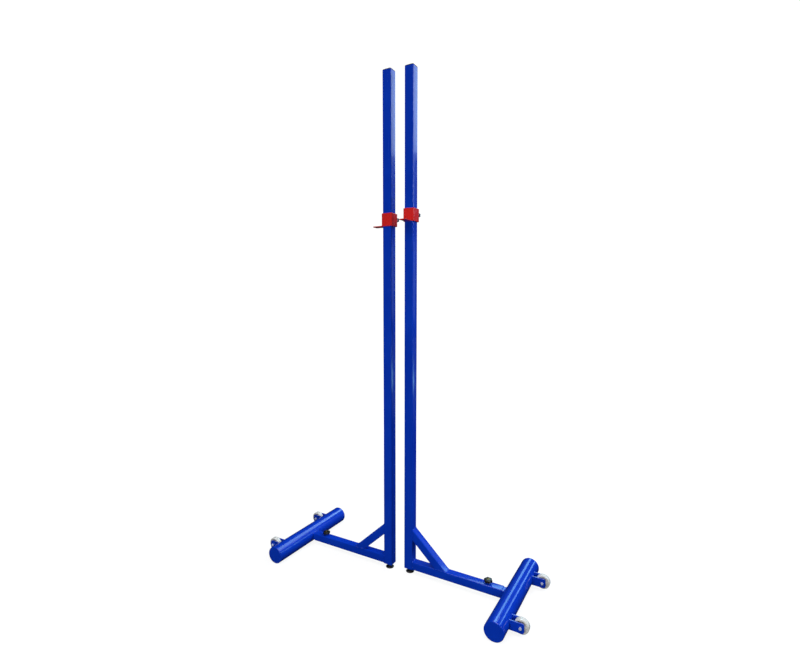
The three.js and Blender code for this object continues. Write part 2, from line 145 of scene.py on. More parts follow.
cove_mesh.from_pydata(cove_points, [], cove_faces)
cove_mesh.shade_smooth()
cove_mesh.materials.append(seamless_paper())
cove = bpy.data.objects.new("cove", cove_mesh)
cove.visible_glossy = False
cove.visible_diffuse = False
bpy.context.scene.collection.objects.link(cove)


def soft_box(name, place, aim, width, height, brightness, colour="ffffff", tilt=0.0, mirrored=True):
    """A rectangular soft light that faces the point it is aimed at. Its brightness is that
    of its face, so a larger box of the same brightness looks the same in a reflection. A box
    that isn't mirrored lights surfaces without a highlight, as a large far light would."""
    light = bpy.data.lights.new(name, "AREA")
    light.shape = "RECTANGLE"
    light.size = width
    light.size_y = height
    light.energy = brightness * math.pi * width * height
    light.color = linear(colour)[:3]
    lamp = bpy.data.objects.new(name, light)
    lamp.location = place
    facing = (Vector(aim) - Vector(place)).to_track_quat("-Z", "Y").to_matrix()
    lamp.rotation_euler = (facing @ Matrix.Rotation(math.radians(tilt), 3, "Z")).to_euler()
    lamp.visible_camera = False
    lamp.visible_glossy = mirrored
    bpy.context.scene.collection.objects.link(lamp)


# The ceiling, front and top boxes light the set from the front and above, the right and side
# boxes from the right, and the rear box its backs. The others, nearly all in a row behind the
# set, show as reflections in the uprights' sides and on the drums.
soft_box("ceiling_box", (1.5, -4.5, 10.5), (0.6, -1.0, 0.0), 12.0, 9.0, 2.7)
soft_box("front_box", (1.0, -4.5, 1.15), (0.0, 0.0, 0.6), 3.0, 2.2, 4.7, mirrored=False)
soft_box("right_box", (7.0, 2.5, 4.4), (0.0, 0.0, 1.2), 3.2, 3.0, 6.5, "e4f0ff")
soft_box("side_box", (3.3, 2.95, 3.9), (0.0, 0.0, 1.7), 1.4, 1.4, 15.0, "e4f0ff", mirrored=False)
soft_box("top_box", (0.3, 0.6, 7.0), (0.3, 0.0, 0.0), 2.0, 2.0, 0.6)
soft_box("back_right_box", (1.75, 2.9, 3.87), (0.0, 0.0, 1.9), 1.3, 1.35, 2.35, "c5e2ff")
soft_box("middle_high_box", (1.93, 2.9, 2.85), (0.0, 0.0, 1.8), 0.5, 0.6, 0.65, "8cb0ff")
soft_box("middle_low_box", (1.93, 2.9, 1.7), (0.0, 0.0, 1.6), 0.5, 0.94, 0.9, "8cb0ff")
soft_box("back_left_box", (-0.13, 2.9, 3.3), (-0.64, 0.0, 0.1), 2.0, 1.2, 3.35, "b2e1ec")
soft_box("drum_strip", (0.02, 2.9, 1.92), (0.64, 0.0, 0.1), 0.8, 1.3, 3.2, "98defa", tilt=-24)
soft_box("right_panel", (1.4, 1.5, 0.9), (0.64, 0.0, 0.1), 0.24, 0.8, 3.2, "98e0fc", tilt=42)
soft_box("back_low_box", (1.75, 2.9, 0.5), (0.1, 0.0, 0.8), 0.8, 1.0, 0.12, "c5e2ff")
soft_box("back_panel", (0.6, 3.4, 2.9), (0.0, 0.0, 1.6), 6.0, 2.8, 0.08, "b4cdfa")
soft_box("rear_box", (0.3, 9.0, 1.4), (0.0, 0.0, 1.2), 2.6, 2.0, 20.0, mirrored=False)


def studio_air():
    """The unlit room round the set, which gives gloss paint its dark flanks."""
    world = bpy.data.worlds.new("studio_air")
    world.use_nodes = True
    tree = world.node_tree
    tree.nodes.clear()
    room = add_node(tree, "ShaderNodeBackground", {"Color": linear("1b1d20"), "Strength": 1.0})
    add_node(tree, "ShaderNodeOutputWorld", {"Surface": room.outputs[0]})
    return world


bpy.context.scene.world = studio_air()
bpy.context.scene.view_settings.view_transform = "Standard"


# Uprights: square steel tube, cold formed with round corners and powder coated blue.
# The coat is baked on, so it is glossy with a fine orange peel, and the sleeve's screw
# leaves faint rubbed streaks on it.
MM = 0.001
BLUE, THIN_BLUE = "0534b6", "093cc2"
FADE_MM = 160  # width of the slow changes of tone along a tube
PEEL_MM = 2.2  # width of a dimple of the orange peel, about twice the real one so that it shows
FLECK_MM = 6  # spacing of the specks of dust
RUB_MM = 3.3  # spacing of the rubbed streaks
RUB_STRETCH = 0.012  # a streak's width as a share of its length
POST_RINGS = 40
CORNER_STEPS = 6
END_ROUND = 0.5 * MM


def powder_coat(name, body, thin, roughness, streaks=False):
    """Baked powder: an even deep colour, a little paler where it lies thinner, with orange
    peel in the gloss and a few specks of dust that dull it."""
    material, tree, place = new_material(name)
    tone = add_node(
        tree, "ShaderNodeTexNoise", {"Vector": place, "Scale": 1000 / FADE_MM, "Detail": 3.0}
    )
    tint = add_node(tree, "ShaderNodeValToRGB", {"Fac": tone.outputs["Fac"]})
    tint.color_ramp.elements[0].position = 0.35
    tint.color_ramp.elements[0].color = linear(body)
    tint.color_ramp.elements[1].position = 0.75
    tint.color_ramp.elements[1].color = linear(thin)
    peel = add_node(
        tree, "ShaderNodeTexNoise", {"Vector": place, "Scale": 1000 / PEEL_MM, "Detail": 2.0}
    )
    fleck = add_node(
        tree, "ShaderNodeTexNoise", {"Vector": place, "Scale": 1000 / FLECK_MM, "Detail": 6.0}
    )
    dull = add_node(
        tree,
        "ShaderNodeMapRange",
        {"Value": fleck.outputs["Fac"], "From Min": 0.45, "From Max": 0.8,
         "To Min": roughness, "To Max": roughness + 0.1},
    )
    rough = dull.outputs["Result"]
    if streaks:
        stretched = add_node(
            tree, "ShaderNodeMapping", {"Vector": place, "Scale": (1.0, 1.0, RUB_STRETCH)}
        )
        rub = add_node(
            tree,
            "ShaderNodeTexNoise",
            {"Vector": stretched.outputs[0], "Scale": 1000 / RUB_MM, "Detail": 3.0},
        )
        worn = add_node(
            tree,
            "ShaderNodeMapRange",
            {"Value": rub.outputs["Fac"], "From Min": 0.58, "From Max": 0.75, "To Max": 0.16},
        )
        mixed = add_node(
            tree, "ShaderNodeMath", {0: rough, 1: worn.outputs["Result"]}, operation="ADD"
        )
        rough = mixed.outputs[0]
    dimples = add_node(
        tree,
        "ShaderNodeBump",
        {"Height": peel.outputs["Fac"], "Strength": 0.06, "Distance": 0.3 * MM},
    )
    coat = add_node(
        tree,
        "ShaderNodeBsdfPrincipled",
        {"Base Color": tint.outputs["Color"], "Roughness": rough,
         "Normal": dimples.outputs["Normal"], "IOR": 1.5, "Coat Weight": 0.35,
         "Coat Roughness": 0.08},
    )
    add_node(tree, "ShaderNodeOutputMaterial", {"Surface": coat.outputs[0]})
    return material


# A finish is a material and the name of its slot.
blue_paint = (powder_coat("blue_powder_coat", BLUE, THIN_BLUE, 0.11), "blue_paint")
rubbed_paint = (powder_coat("blue_rubbed_coat", BLUE, THIN_BLUE, 0.16, streaks=True), "blue_paint")


def round_square(width, corner):
    """Points of a square with round corners, centred, anticlockwise."""
    points = []
    for quarter, (sx, sy) in enumerate([(1, 1), (-1, 1), (-1, -1), (1, -1)]):
        for step in range(CORNER_STEPS + 1):
            turn = math.pi / 2 * (quarter + step / CORNER_STEPS)
            x = sx * (width / 2 - corner) + corner * math.cos(turn)
            y = sy * (width / 2 - corner) + corner * math.sin(turn)
            points.append((x, y))
    return points


def round_outline(radius, sides):
    """Points of a circle, anticlockwise."""
    turns = [2 * math.pi * i / sides for i in range(sides)]
    return [(radius * math.cos(turn), radius * math.sin(turn)) for turn in turns]


def level(outline, height):
    """An outline laid flat at a height."""
    return [Vector((x, y, height)) for x, y in outline]


def skin(rings, loop=False):
    """Points and faces of the surface through a row of like rings, closed at both ends,
    or, as a loop, from the last ring back to the first."""
    count = len(rings[0])
    points = [point for ring in rings for point in ring]
    last = len(rings) if loop else len(rings) - 1
    faces = []
    for row in range(last):
        a, b = row * count, ((row + 1) % len(rings)) * count
        for i in range(count):
            j = (i + 1) % count
            faces.append((a + i, a + j, b + j, b + i))
    if not loop:
        faces.append(tuple(reversed(range(count))))
        faces.append(tuple(range(last * count, (last + 1) * count)))
    return points, faces


def make(name, shape, at, finish, body, stands_for=(), crease=38):
    """A piece from points and faces in a frame of its own, put in place with at. Edges
    sharper than crease, in degrees, stay crisp."""
    points, faces = shape
    material, slot = finish
    mesh = bpy.data.meshes.new(name)
    mesh.from_pydata([at @ point for point in points], [], faces)
    mesh.validate()
    mesh.shade_smooth()
    mesh.set_sharp_from_angle(angle=math.radians(crease))
    mesh.materials.append(material)
    thing = bpy.data.objects.new(name, mesh)
    bpy.context.scene.collection.objects.link(thing)
    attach(thing, body)
    if stands_for:
        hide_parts(*stands_for)


def size(node):
    """Lengths of a node's box along X, Y and Z."""
    low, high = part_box(node)
    return high - low


def middle(node):
    """Middle of a node's box."""
    low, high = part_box(node)
    return (low + high) / 2


def heights(node):
    """Heights of a node's bottom and top."""
    low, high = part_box(node)
    return low.z, high.z


# Each standard is built with its upright on the Z axis and its foot along +X, and is then
# put where the model has it. The left one is turned half round.
SIDES = ("left", "right")
stand_at = {}
for side in SIDES:
    centre = middle(f"{side}_upright")
    faces_left = middle(f"{side}_foot_tube").x < centre.x
    half_turn = Matrix.Rotation(math.pi if faces_left else 0.0, 4, "Z")
    stand_at[side] = Matrix.Translation((centre.x, centre.y, 0.0)) @ half_turn

POST = size("right_upright").x
POST_CORNER = 5 * MM
POST_LOW, POST_HIGH = heights("right_upright")


def upright():
    """The tube with its closed foot end, its sawn edges just broken."""
    whole = round_square(POST, POST_CORNER)
    broken = round_square(POST - 2 * END_ROUND, POST_CORNER - END_ROUND)
    straight = POST_HIGH - POST_LOW - 2 * END_ROUND
    rings = [level(broken, POST_LOW)]
    for i in range(POST_RINGS + 1):
        rings.append(level(whole, POST_LOW + END_ROUND + straight * i / POST_RINGS))
    rings.append(level(broken, POST_HIGH))
    return skin(rings)


for side in SIDES:
    make(f"{side}_post", upright(), stand_at[side], rubbed_paint, f"{side}_stand",
         [f"{side}_upright"])


# Caps: injection moulded polyethylene, pushed into the open top of each tube. The moulded
# face is matt black with a fine spark-eroded grain.
HAZE_MM = 25  # width of the greyer patches that handling leaves
CAP_SEAT = 0.3 * MM
CAP_INSET = 0.4 * MM
CAP_RIM = 1.2 * MM
DOME_RINGS = 14


def moulded_black(name, shade, roughness, grain_mm, depth_mm):
    """Black moulded plastic: matt, with the mould's grain, and greyer where it is handled.
    The real grain is a few tenths of a millimetre, and is drawn coarser so that it shows."""
    material, tree, place = new_material(name)
    grain = add_node(tree, "ShaderNodeTexVoronoi", {"Vector": place, "Scale": 1000 / grain_mm})
    haze = add_node(
        tree, "ShaderNodeTexNoise", {"Vector": place, "Scale": 1000 / HAZE_MM, "Detail": 4.0}
    )
    colour = add_node(tree, "ShaderNodeValToRGB", {"Fac": haze.outputs["Fac"]})
    colour.color_ramp.elements[0].position = 0.4
    colour.color_ramp.elements[0].color = linear(shade)
    colour.color_ramp.elements[1].position = 0.8
    colour.color_ramp.elements[1].color = linear("2c2d30")
    sheen = add_node(
        tree,
        "ShaderNodeMapRange",
        {"Value": haze.outputs["Fac"], "From Min": 0.3, "From Max": 0.7,
         "To Min": roughness - 0.07, "To Max": roughness + 0.1},
    )
    bump = add_node(
        tree,
        "ShaderNodeBump",
        {"Height": grain.outputs["Distance"], "Strength": 0.35, "Distance": depth_mm * MM},
    )
    plastic = add_node(
        tree,
        "ShaderNodeBsdfPrincipled",
        {"Base Color": colour.outputs["Color"], "Roughness": sheen.outputs["Result"],
         "Normal": bump.outputs["Normal"], "IOR": 1.5},
    )
    add_node(tree, "ShaderNodeOutputMaterial", {"Surface": plastic.outputs[0]})
    return material


moulded_cap = moulded_black("moulded_polyethylene", "101114", 0.5, grain_mm=1.2, depth_mm=0.05)
polyethylene = (moulded_cap, "black_plastic")


def dome():
    """Straight rim, then a low pillow that rises to the middle of the cap."""
    base = POST_HIGH + CAP_SEAT
    rise = heights("right_upright_cap")[1] - base - CAP_RIM
    width = POST - CAP_INSET
    tucked = width - 1.2 * MM
    rings = [level(round_square(tucked, POST_CORNER), base)]
    rings.append(level(round_square(width, POST_CORNER), base + 0.4 * MM))
    for step in range(DOME_RINGS):
        turn = math.pi / 2 * step / DOME_RINGS
        across = width * math.cos(turn)
        corner = min(POST_CORNER + 3 * MM * step / DOME_RINGS, across / 2)
        outline = round_square(across, corner)
        rings.append(level(outline, base + CAP_RIM + rise * math.sin(turn)))
    return skin(rings)


for side in SIDES:
    make(f"{side}_cap", dome(), stand_at[side], polyethylene, f"{side}_stand",
         [f"{side}_upright_cap"], crease=50)


# Levelling feet: a black nylon pad on a zinc-plated M12 stud, which screws up into the
# plate at the foot of the upright and is held by a lock nut.
PAD = size("right_levelling_pad").x / 2
PAD_TALL = size("right_levelling_pad").z
PAD_BORE = 6.3 * MM
STUD, STUD_PITCH = 6 * MM, 1.75 * MM
THREAD_DEPTH_SHARE = 0.065  # depth of a thread as a share of the screw's diameter
LOCK_NUT_FLATS = 19.2 * MM
CLOUD_MM = 7  # width of the clouds that the plating bath leaves
BRUSH_MM = 0.8  # spacing of the brushed grain, really a tenth or two, coarser so that it shows


def zinc_plate(name, tone, flash, metallic):
    """Zinc plating: bright and slightly blue or yellow, clouded by the bath, with a fine
    brushed grain from tumbling. A milky chromate film makes it less than all metal."""
    material, tree, place = new_material(name)
    cloud = add_node(
        tree, "ShaderNodeTexNoise", {"Vector": place, "Scale": 1000 / CLOUD_MM, "Detail": 5.0}
    )
    colour = add_node(tree, "ShaderNodeValToRGB", {"Fac": cloud.outputs["Fac"]})
    colour.color_ramp.elements[0].position = 0.3
    colour.color_ramp.elements[0].color = linear(tone)
    colour.color_ramp.elements[1].position = 0.75
    colour.color_ramp.elements[1].color = linear(flash)
    scuff = add_node(
        tree, "ShaderNodeTexNoise", {"Vector": place, "Scale": 1000 / BRUSH_MM, "Detail": 2.0}
    )
    polish = add_node(
        tree,
        "ShaderNodeMapRange",
        {"Value": scuff.outputs["Fac"], "From Min": 0.3, "From Max": 0.7,
         "To Min": 0.4, "To Max": 0.58},
    )
    bump = add_node(
        tree,
        "ShaderNodeBump",
        {"Height": scuff.outputs["Fac"], "Strength": 0.1, "Distance": 0.05 * MM},
    )
    metal = add_node(
        tree,
        "ShaderNodeBsdfPrincipled",
        {"Base Color": colour.outputs["Color"], "Metallic": metallic,
         "Roughness": polish.outputs["Result"], "Normal": bump.outputs["Normal"]},
    )
    add_node(tree, "ShaderNodeOutputMaterial", {"Surface": metal.outputs[0]})
    return material


zinc = (zinc_plate("bright_zinc", "d0def8", "e4eeff", metallic=0.4), "zinc")
moulded_pad = moulded_black("moulded_nylon_black", "0d0d0f", 0.42, grain_mm=0.9, depth_mm=0.04)
black_nylon = (moulded_pad, "black_plastic")


def turned(profile, sides=72):
    """Rings of a turned body, from pairs of radius and height."""
    return [level(round_outline(radius, sides), height) for radius, height in profile]


def threaded(radius, low, high, pitch, sides=36):
    """A screw thread as one helical ridge, its crests at the full radius."""
    depth = 2 * radius * THREAD_DEPTH_SHARE
    rows = max(2, round((high - low) / (pitch / 8)))
    rings = []
    for row in range(rows + 1):
        height = low + (high - low) * row / rows
        ring = []
        for i in range(sides):
            around = 2 * math.pi * i / sides
            wave = abs(((height / pitch - i / sides) % 1.0) * 2 - 1)
            reach = radius - depth * min(1.0, 1.25 * wave)
            ring.append(Vector((reach * math.cos(around), reach * math.sin(around), height)))
        rings.append(ring)
    return rings


def hexagonal(flats, low, high, sides=72):
    """Rings of a hexagon bar whose corners are turned off at both ends."""
    rim = flats / math.sqrt(3)
    face = flats / 2 * 0.96
    drop = (rim - flats / 2) * 0.7
    lip = drop * 0.3

    def ring(height, limit):
        points = []
        for i in range(sides):
            around = 2 * math.pi * i / sides
            off = (around % (math.pi / 3)) - math.pi / 6
            reach = min(flats / 2 / math.cos(off), limit)
            points.append(Vector((reach * math.cos(around), reach * math.sin(around), height)))
        return points

    return [ring(low, face), ring(low + lip, flats / 2), ring(low + drop, rim),
            ring(high - drop, rim), ring(high - lip, flats / 2), ring(high, face)]


for side in SIDES:
    body = f"{side}_levelling_foot"
    pad = turned([
        (PAD * 0.5, 0.0), (PAD * 0.93, 0.0), (PAD, 1.2 * MM), (PAD, 3.4 * MM),
        (PAD * 0.96, 4.2 * MM), (PAD * 0.62, PAD_TALL * 0.72), (PAD * 0.49, PAD_TALL * 0.86),
        (PAD * 0.46, PAD_TALL), (PAD_BORE, PAD_TALL),
    ])
    make(f"{side}_pad", skin(pad), stand_at[side], black_nylon, body,
         [f"{side}_levelling_pad"])
    stud = threaded(STUD, *heights(f"{side}_levelling_stud"), STUD_PITCH)
    make(f"{side}_stud", skin(stud), stand_at[side], zinc, body,
         [f"{side}_levelling_stud"], crease=80)
    nut = hexagonal(LOCK_NUT_FLATS, *heights(f"{side}_lock_nut"))
    make(f"{side}_locknut", skin(nut), stand_at[side], zinc, f"{side}_stand",
         [f"{side}_lock_nut"], crease=20)


# Feet and braces: smaller square tube, welded to the upright all round. The brace is sawn
# to a slant at both ends. The weld beads show as small scallops under the paint.
WELD_GAP = 0.3 * MM
FOOT = size("right_foot_tube").z
FOOT_CORNER = 4.5 * MM
FOOT_WALL = 2 * MM
FOOT_NEAR = POST / 2 + WELD_GAP
FOOT_FAR = FOOT_NEAR + size("right_foot_tube").x
FOOT_MID = middle("right_foot_tube").z
FOOT_TOP = FOOT_MID + FOOT / 2
FOOT_RINGS = 16
WELD_LEG = 2.2 * MM
SCALLOP = 3.2 * MM  # spacing of the ripples, one for each dab of the torch
RIPPLE = 0.14  # height of a ripple as a share of the bead
BEAD_SIDES = 8


def lying(outline, x, height):
    """An outline stood on edge across the foot, at a distance from the upright."""
    return [Vector((x, across, height + up)) for across, up in outline]


def foot_tube():
    """Open tube: outside skin, sawn end, and inside skin back to the upright."""
    hollow, inner_corner = FOOT - 2 * FOOT_WALL, FOOT_CORNER - FOOT_WALL
    outside = round_square(FOOT, FOOT_CORNER)
    broken = round_square(FOOT - 2 * END_ROUND, FOOT_CORNER - END_ROUND)
    inside = round_square(hollow, inner_corner)
    flared = round_square(hollow + END_ROUND, inner_corner)
    straight = FOOT_FAR - END_ROUND - FOOT_NEAR
    rings = []
    for i in range(FOOT_RINGS + 1):
        rings.append(lying(outside, FOOT_NEAR + straight * i / FOOT_RINGS, FOOT_MID))
    rings += [lying(broken, FOOT_FAR, FOOT_MID), lying(flared, FOOT_FAR, FOOT_MID)]
    rings += [lying(inside, FOOT_FAR - END_ROUND, FOOT_MID), lying(inside, FOOT_NEAR, FOOT_MID)]
    return skin(rings, loop=True)


def brace_rings():
    """The two mitred ends of the brace: against the upright, and on top of the foot."""
    reach, rise = size("right_brace").x, size("right_brace").z
    pitch = math.atan2(rise, reach)
    along = Vector((math.cos(pitch), 0.0, -math.sin(pitch)))
    upward = Vector((math.sin(pitch), 0.0, math.cos(pitch)))
    near, under = FOOT_NEAR, FOOT_TOP + WELD_GAP
    centre = Vector((near + reach / 2, 0.0, under + rise / 2)) - upward * FOOT / 2
    upper, lower = [], []
    for across, up in round_square(FOOT, FOOT_CORNER):
        point = centre + Vector((0.0, across, 0.0)) + upward * up
        upper.append(point + along * ((near - point.x) / along.x))
        lower.append(point + along * ((under - point.z) / along.z))
    return upper, lower


def weld_bead(path, leg=WELD_LEG, closed=True):
    """A bead of scallops along a path: a small round whose size rises and falls."""
    pairs = len(path) if closed else len(path) - 1
    legs = [(path[(i + 1) % len(path)] - path[i]).length for i in range(pairs)]
    total = sum(legs)
    count = max(8, round(total / (SCALLOP / 4)))
    rings, index, passed = [], 0, 0.0
    side_way = None
    for step in range(count if closed else count + 1):
        distance = min(total * step / count, total - 1e-9)
        while index < len(legs) - 1 and passed + legs[index] < distance:
            passed += legs[index]
            index += 1
        start, end = path[index], path[(index + 1) % len(path)]
        share = (distance - passed) / max(legs[index], 1e-9)
        tangent = (end - start).normalized()
        if side_way is None:
            side_way = tangent.orthogonal()
        else:
            side_way = side_way - tangent * side_way.dot(tangent)
        side_way.normalize()
        other = tangent.cross(side_way)
        radius = leg * (1 - RIPPLE + RIPPLE * math.cos(2 * math.pi * distance / SCALLOP))
        centre = start.lerp(end, share)
        ring = []
        for k in range(BEAD_SIDES):
            turn = 2 * math.pi * k / BEAD_SIDES
            ring.append(centre + side_way * radius * math.cos(turn)
                        + other * radius * math.sin(turn))
        rings.append(ring)
    return skin(rings, loop=closed)


for side in SIDES:
    body = f"{side}_stand"
    make(f"{side}_foot", foot_tube(), stand_at[side], blue_paint, body, [f"{side}_foot_tube"])
    upper, lower = brace_rings()
    make(f"{side}_strut", skin([upper, lower]), stand_at[side], blue_paint, body,
         [f"{side}_brace"])
    foot_seam = lying(round_square(FOOT, FOOT_CORNER), FOOT_NEAR, FOOT_MID)
    for seam_name, seam in (("foot", foot_seam), ("brace_top", upper), ("brace_toe", lower)):
        make(f"{side}_weld_{seam_name}", weld_bead(seam), stand_at[side], blue_paint, body,
             crease=60)


# Foot clamps: a nut welded on the foot takes an M10 screw, which a black lobed knob with
# a plated insert turns down on to the stub.
FOOT_LOBES = 6
INSERT = 8 * MM
FOOT_SCREW, FOOT_SCREW_PITCH = 5 * MM, 1.5 * MM
FOOT_NUT_FLATS = 16 * MM
FOOT_NUT_WELD = 8.6 * MM
yellow_zinc = (zinc_plate("yellow_zinc", "8a7244", "b49a66", metallic=1.0), "yellow_zinc")
moulded_knob = moulded_black("moulded_phenolic", "0e0e10", 0.3, grain_mm=1.6, depth_mm=0.03)
phenolic = (moulded_knob, "black_plastic")


def lobed(profile, lobes, depth, sides=144):
    """Rings of a lobed grip: a radius, a height, and how much of their full depth the
    hollows between the lobes have there."""
    rings = []
    for radius, height, share in profile:
        ring = []
        for i in range(sides):
            around = 2 * math.pi * i / sides
            hollow = depth * share * (0.5 - 0.5 * math.cos(lobes * around)) ** 0.8
            reach = radius - hollow
            ring.append(Vector((reach * math.cos(around), reach * math.sin(around), height)))
        rings.append(ring)
    return rings


for side in SIDES:
    body = f"{side}_foot_clamp"
    centre = stand_at[side].inverted() @ middle(f"{side}_foot_clamp_knob")
    at = stand_at[side] @ Matrix.Translation((centre.x, centre.y, 0.0))
    low, high = heights(f"{side}_foot_clamp_knob")
    tall = high - low
    reach = size(f"{side}_foot_clamp_knob").x / 2
    grip = lobed([
        (reach * 0.36, low, 0.0), (reach * 0.46, low + 0.3 * MM, 0.0),
        (reach * 0.5, low + tall * 0.12, 0.0), (reach * 0.9, low + tall * 0.2, 1.0),
        (reach * 0.98, low + tall * 0.28, 1.0), (reach, low + tall * 0.38, 1.0),
        (reach, low + tall * 0.66, 1.0), (reach * 0.97, low + tall * 0.78, 1.0),
        (reach * 0.9, low + tall * 0.87, 0.9), (reach * 0.78, low + tall * 0.93, 0.6),
        (reach * 0.6, low + tall * 0.97, 0.25), (reach * 0.45, low + tall * 0.985, 0.0),
        (INSERT + 0.6 * MM, low + tall * 0.985, 0.0), (INSERT + 0.2 * MM, low + tall * 0.95, 0.0),
    ], FOOT_LOBES, reach * 0.14)
    make(f"{side}_foot_knob", skin(grip), at, phenolic, body,
         [f"{side}_foot_clamp_knob"], crease=50)
    insert = turned([
        (INSERT, low + tall * 0.9), (INSERT, low + tall * 0.985),
        (INSERT - 0.5 * MM, high - 0.05 * MM), (5.6 * MM, high - 0.05 * MM),
        (5.2 * MM, high - 0.8 * MM),
    ], sides=48)
    make(f"{side}_foot_knob_insert", skin(insert), at, yellow_zinc, body)
    screw_low = heights(f"{side}_foot_clamp_screw")[0]
    screw = threaded(FOOT_SCREW, screw_low, high - 0.3 * MM, FOOT_SCREW_PITCH)
    make(f"{side}_foot_screw", skin(screw), at, yellow_zinc, body,
         [f"{side}_foot_clamp_screw"], crease=80)

    body = f"{side}_stand"
    low, high = heights(f"{side}_foot_clamp_nut")
    make(f"{side}_weld_nut", skin(hexagonal(FOOT_NUT_FLATS, low, high)), at, blue_paint, body,
         [f"{side}_foot_clamp_nut"], crease=20)
    seam = level(round_outline(FOOT_NUT_WELD, 40), low)
    make(f"{side}_weld_clamp", weld_bead(seam, 1.3 * MM), at, blue_paint, body, crease=60)


# Ballast drums: steel pipe with a disc welded in each end and concrete inside, painted
# with the rest. A short square stub is welded to the middle of each and slides in the foot.
DRUM = size("right_drum_shell").x / 2
DRUM_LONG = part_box("right_drum_end_2")[1].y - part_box("right_drum_end_1")[0].y
DRUM_X = abs((stand_at["right"].inverted() @ middle("right_drum_shell")).x)
DRUM_SIDES = 160
DRUM_RINGS = 12
PIPE_WALL = 3 * MM
END_THICK = size("right_drum_end_1").y
DISC_ROUND = 2.8 * MM
STONE_MM = 9  # width of a stone in the concrete
STUB_CORNER = 4 * MM
STUB_RINGS = 6
COPE_GAP = 0.2 * MM  # between the drum and what is cut to its curve


def cast_concrete():
    """Concrete: pale grey, sandy, with darker stones and pits. It is sealed in the drum."""
    material, tree, place = new_material("cast_concrete")
    stones = add_node(tree, "ShaderNodeTexVoronoi", {"Vector": place, "Scale": 1000 / STONE_MM})
    colour = add_node(tree, "ShaderNodeValToRGB", {"Fac": stones.outputs["Distance"]})
    colour.color_ramp.elements[0].color = linear("6f6c66")
    colour.color_ramp.elements[1].color = linear("a5a29b")
    bump = add_node(
        tree, "ShaderNodeBump", {"Height": stones.outputs["Distance"], "Distance": 0.5 * MM}
    )
    stone = add_node(
        tree,
        "ShaderNodeBsdfPrincipled",
        {"Base Color": colour.outputs["Color"], "Roughness": 0.9,
         "Normal": bump.outputs["Normal"]},
    )
    add_node(tree, "ShaderNodeOutputMaterial", {"Surface": stone.outputs[0]})
    return material


def drum_shell():
    """The pipe between the two discs, its ends just broken."""
    half = DRUM_LONG / 2 - END_THICK - 0.1 * MM
    profile = [(DRUM - PIPE_WALL, -half), (DRUM - END_ROUND, -half), (DRUM, END_ROUND - half)]
    for i in range(1, DRUM_RINGS):
        profile.append((DRUM, (half - END_ROUND) * (i / DRUM_RINGS * 2 - 1)))
    profile += [(DRUM, half - END_ROUND), (DRUM - END_ROUND, half), (DRUM - PIPE_WALL, half)]
    return skin(turned(profile, DRUM_SIDES))


def drum_disc(way):
    """A disc at one end, flush with the pipe, its seam ground flat and its edge rounded."""
    inner, outer = DRUM_LONG / 2 - END_THICK, DRUM_LONG / 2
    edge = DISC_ROUND
    profile = [(DRUM * 0.5, inner), (DRUM - 0.7 * MM, inner), (DRUM - 0.15 * MM, inner + 0.5 * MM)]
    for step in range(7):
        turn = math.pi / 2 * step / 6
        profile.append((DRUM - edge + edge * math.cos(turn), outer - edge + edge * math.sin(turn)))
    profile.append((DRUM * 0.5, outer))
    rings = turned([(radius, way * height) for radius, height in profile], DRUM_SIDES)
    return skin(rings if way > 0 else rings[::-1])


concrete = cast_concrete()
along_y = Matrix.Rotation(-math.pi / 2, 4, "X")
for side in SIDES:
    body = f"{side}_ballast"
    at = stand_at[side] @ Matrix.Translation((DRUM_X, 0.0, DRUM)) @ along_y
    make(f"{side}_drum", drum_shell(), at, blue_paint, body, [f"{side}_drum_shell"])
    for number, way in (("1", -1), ("2", 1)):
        make(f"{side}_disc_{number}", drum_disc(way), at, blue_paint, body,
             [f"{side}_drum_end_{number}"])
    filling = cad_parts[f"{side}_drum_ballast"].data
    filling.materials.clear()
    filling.materials.append(concrete)

    stub_size = size(f"{side}_stub_tube").z
    stub_mid = middle(f"{side}_stub_tube").z
    outline = round_square(stub_size, STUB_CORNER)
    corners = [stand_at[side].inverted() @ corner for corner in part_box(f"{side}_stub_tube")]
    low = min(corner.x for corner in corners)
    coped = []
    for across, up in outline:
        sag = math.sqrt((DRUM + COPE_GAP) ** 2 - (stub_mid + up - DRUM) ** 2)
        coped.append(Vector((DRUM_X - sag, across, stub_mid + up)))
    rings = []
    for i in range(STUB_RINGS + 1):
        rings.append(lying(outline, low + (FOOT_FAR - low) * i / STUB_RINGS, stub_mid))
    rings.append(coped)
    make(f"{side}_stub", skin(rings), stand_at[side], blue_paint, body, [f"{side}_stub_tube"])
    make(f"{side}_weld_stub", weld_bead(coped, 2.4 * MM), stand_at[side], blue_paint, body,
         crease=60)


# Wheels: white nylon, turned by hand only when the standard is tipped on to them. Each
# turns on a zinc-plated M8 bolt between two flat ears, which are welded to the drum.
EAR_THICK = size("right_ear_1a").y
EAR_TALL = size("right_ear_1a").z
EAR_CORNER = 11 * MM
EAR_EDGE = 0.6 * MM
EAR_WELD = 1.7 * MM
WHEEL = size("right_wheel_1").x / 2
TREAD = 26 * MM
HUB, HUB_LONG = 12 * MM, size("right_wheel_1").y
SIDE_PLAY = 0.5 * MM  # between the hub and an ear
BOLT, BOLT_PITCH = 4 * MM, 1.25 * MM
BOLT_SHANK = 3.9 * MM
BOLT_FLATS = 12.8 * MM
HEAD_TALL, NUT_TALL, BOLT_END = 5.2 * MM, 6.3 * MM, 8.3 * MM
DIRT_MM = 14  # width of the patches of ground-in dust
SKIN_MM = 1.0  # grain of the skin, really a few tenths, drawn coarser so that it shows


